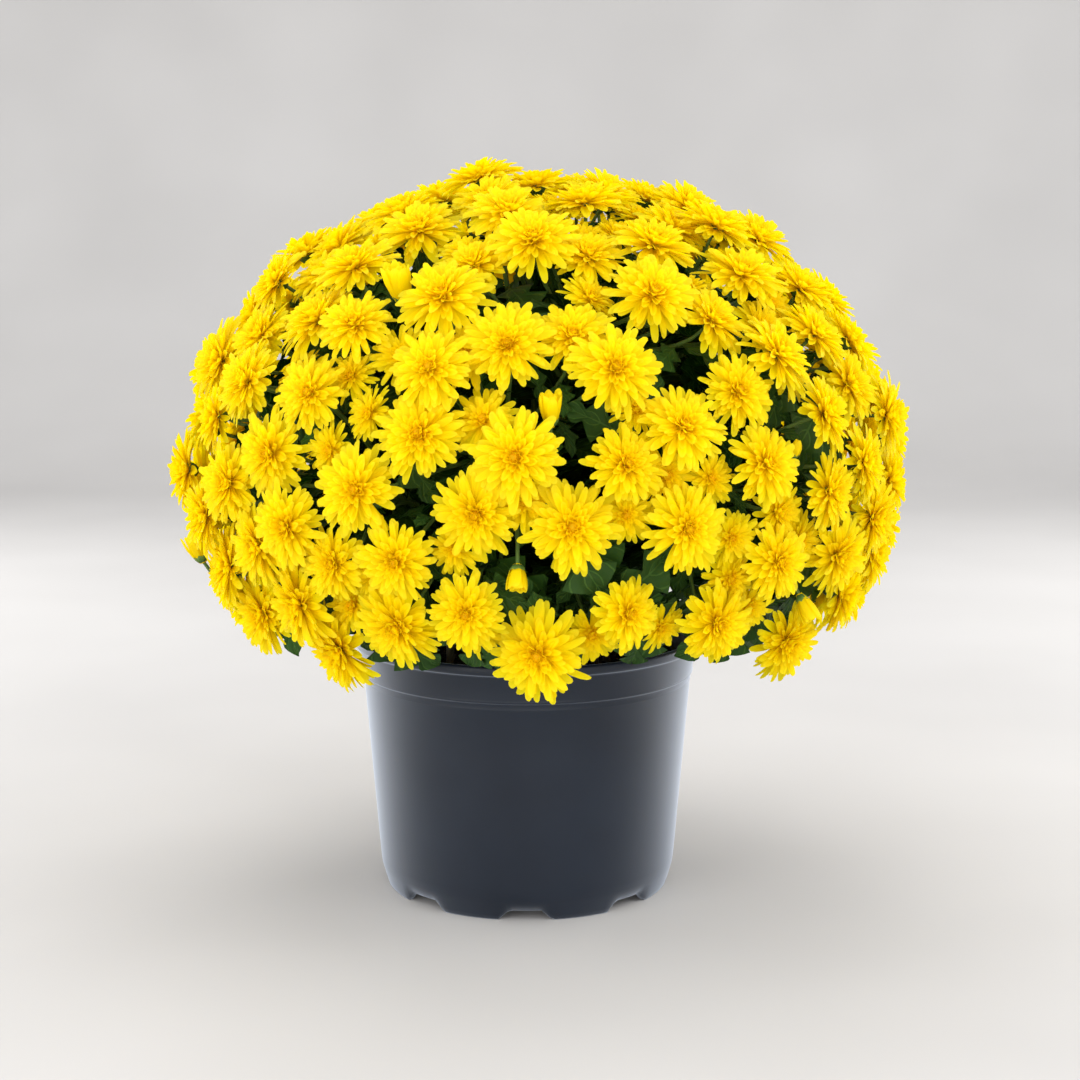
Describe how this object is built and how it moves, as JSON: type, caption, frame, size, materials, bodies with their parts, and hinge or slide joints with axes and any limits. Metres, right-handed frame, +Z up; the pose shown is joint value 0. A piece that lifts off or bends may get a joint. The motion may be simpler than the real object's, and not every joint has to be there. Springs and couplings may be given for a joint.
{
  "type": "pot chrysanthemum",
  "caption": "Domed potted chrysanthemum: double yellow blooms on leafy branching stems, rooted in peat in a round dark nursery pot.",
  "frame": {"origin": "on the ground below the middle of the dome of blooms; the pot's axis is 10 mm towards -X from it", "axes": "+Z up, the pot stands on its feet; the face of the plant looks towards -Y, +X is to its right"},
  "size_m": [0.4387, 0.4344, 0.4392],
  "materials": {
    "pot": "thin moulded nursery plastic, satin, dark slate grey",
    "peat": "moist dark peat compost, rough",
    "foliage": "dark green leaf with paler veins, softly matte, green stems",
    "petals": "bright yellow petals, golden towards the heart, soft sheen"
  },
  "bodies": {
    "root": {"pot": "pot", "growing_medium": "peat", "stem_01": "foliage", "stem_02": "foliage", "stem_03": "foliage", "stem_04": "foliage", "stem_05": "foliage", "stem_06": "foliage", "stem_07": "foliage", "stem_08": "foliage", "stem_09": "foliage", "stem_10": "foliage", "stem_11": "foliage", "stem_12": "foliage", "stem_13": "foliage", "stem_14": "foliage", "stem_15": "foliage", "stem_16": "foliage", "stem_17": "foliage", "stem_18": "foliage", "stem_19": "foliage", "stem_20": "foliage", "stem_21": "foliage", "stem_22": "foliage", "stem_23": "foliage", "stem_24": "foliage", "blooms_01": "petals", "blooms_02": "petals", "blooms_03": "petals", "blooms_04": "petals", "blooms_05": "petals", "blooms_06": "petals", "blooms_07": "petals", "blooms_08": "petals", "blooms_09": "petals", "blooms_10": "petals", "blooms_11": "petals", "blooms_12": "petals", "blooms_13": "petals", "blooms_14": "petals", "blooms_15": "petals", "blooms_16": "petals", "blooms_17": "petals", "blooms_18": "petals", "blooms_19": "petals", "blooms_20": "petals", "blooms_21": "petals", "blooms_22": "petals", "blooms_23": "petals", "blooms_24": "petals", "bud_1": "petals", "bud_2": "petals", "bud_3": "petals", "bud_4": "petals", "bud_5": "petals", "bud_6": "petals", "bud_7": "petals", "bud_8": "petals"}
  },
  "joints": []
}
